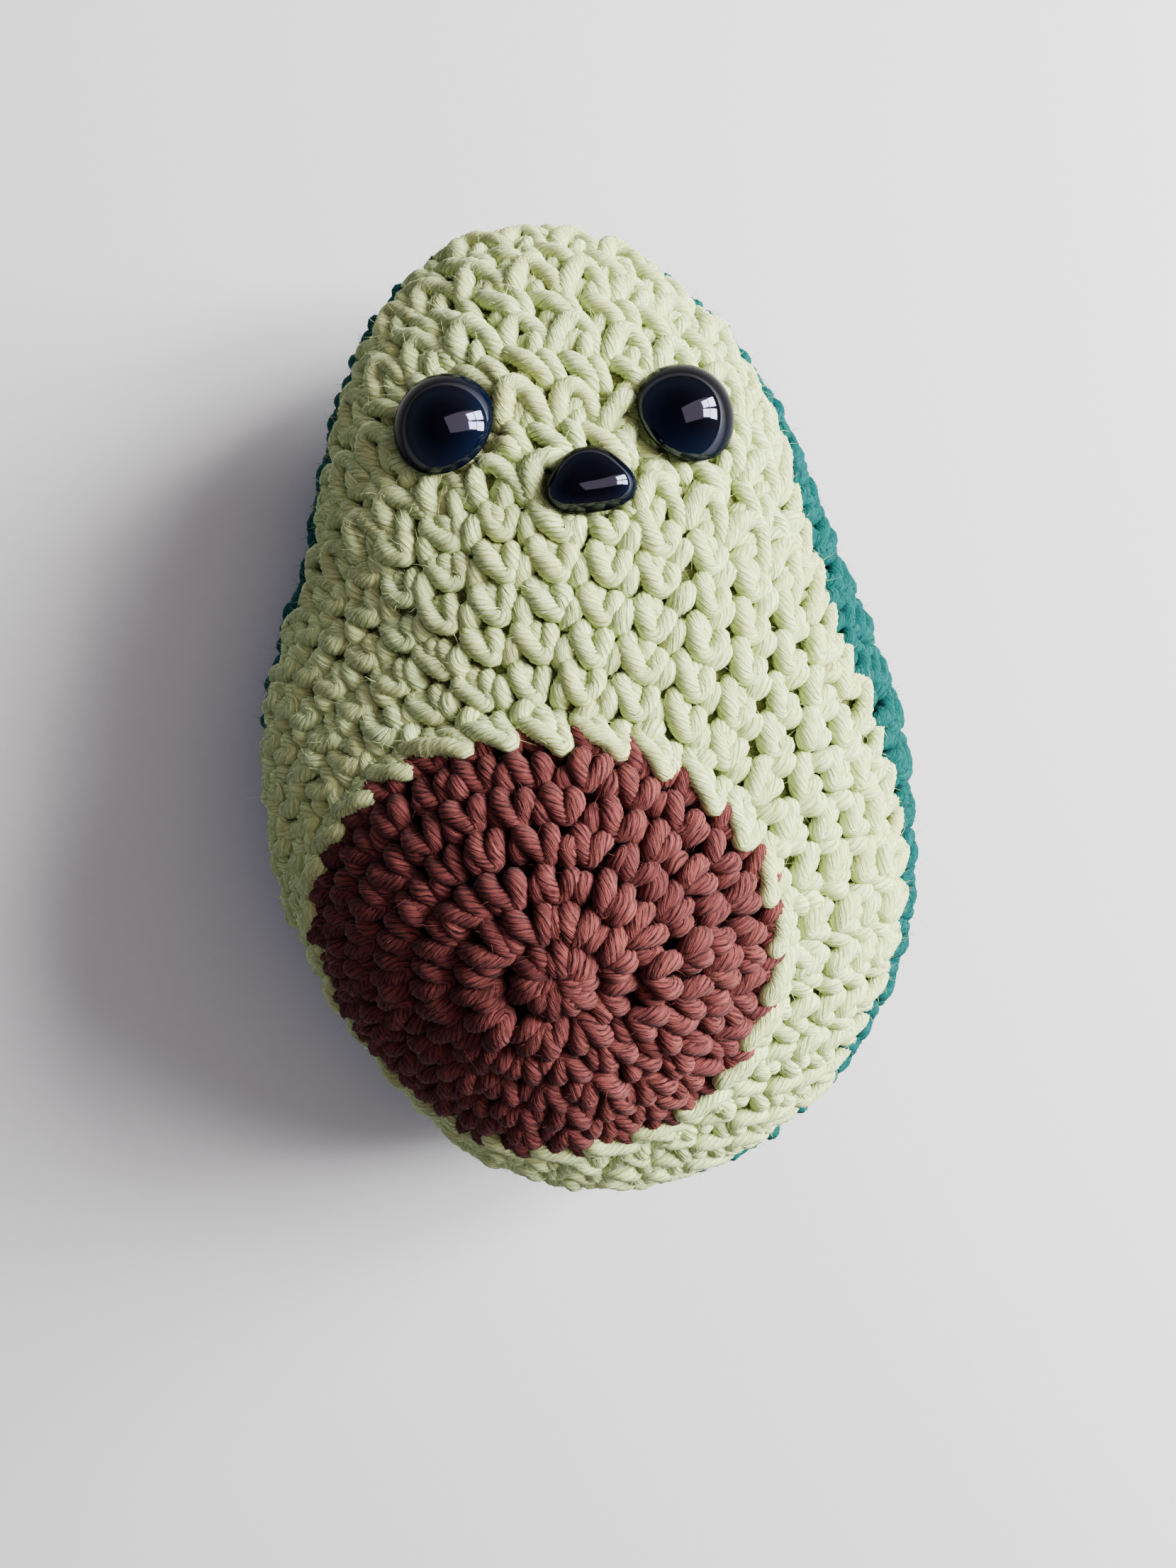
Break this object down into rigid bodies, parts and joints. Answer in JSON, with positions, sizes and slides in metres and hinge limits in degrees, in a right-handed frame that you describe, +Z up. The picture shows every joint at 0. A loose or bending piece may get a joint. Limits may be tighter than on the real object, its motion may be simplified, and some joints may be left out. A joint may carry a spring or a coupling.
{
  "type": "crocheted avocado half soft toy",
  "caption": "Stuffed crocheted half avocado lying on its back: pale front with a domed brown stone, teal back, black plastic eyes and nose.",
  "frame": {"origin": "on the surface the toy lies on, under the middle of its box", "axes": "+Z up, out of the front, +Y towards the top of the head, +X to the right of the face as seen from the front"},
  "size_m": [0.0855, 0.127, 0.0615],
  "materials": {
    "brown_yarn": "crocheted plied yarn, matt and slightly fuzzy, red-brown",
    "pale_yarn": "crocheted plied yarn, matt and slightly fuzzy, pale yellow-green",
    "teal_yarn": "crocheted plied yarn, matt and slightly fuzzy, deep teal green",
    "fibre_filling": "loose white fibre filling",
    "black_plastic": "polished black moulded plastic",
    "washer_plastic": "white moulded plastic, out of sight"
  },
  "bodies": {
    "root": {"stone_panel": "brown_yarn", "flesh_panel": "pale_yarn", "back_panel": "teal_yarn", "stuffing": "fibre_filling", "eye_left": "black_plastic", "eye_right": "black_plastic", "nose": "black_plastic", "eye_left_washer": "washer_plastic", "eye_right_washer": "washer_plastic", "nose_washer": "washer_plastic"}
  },
  "joints": []
}
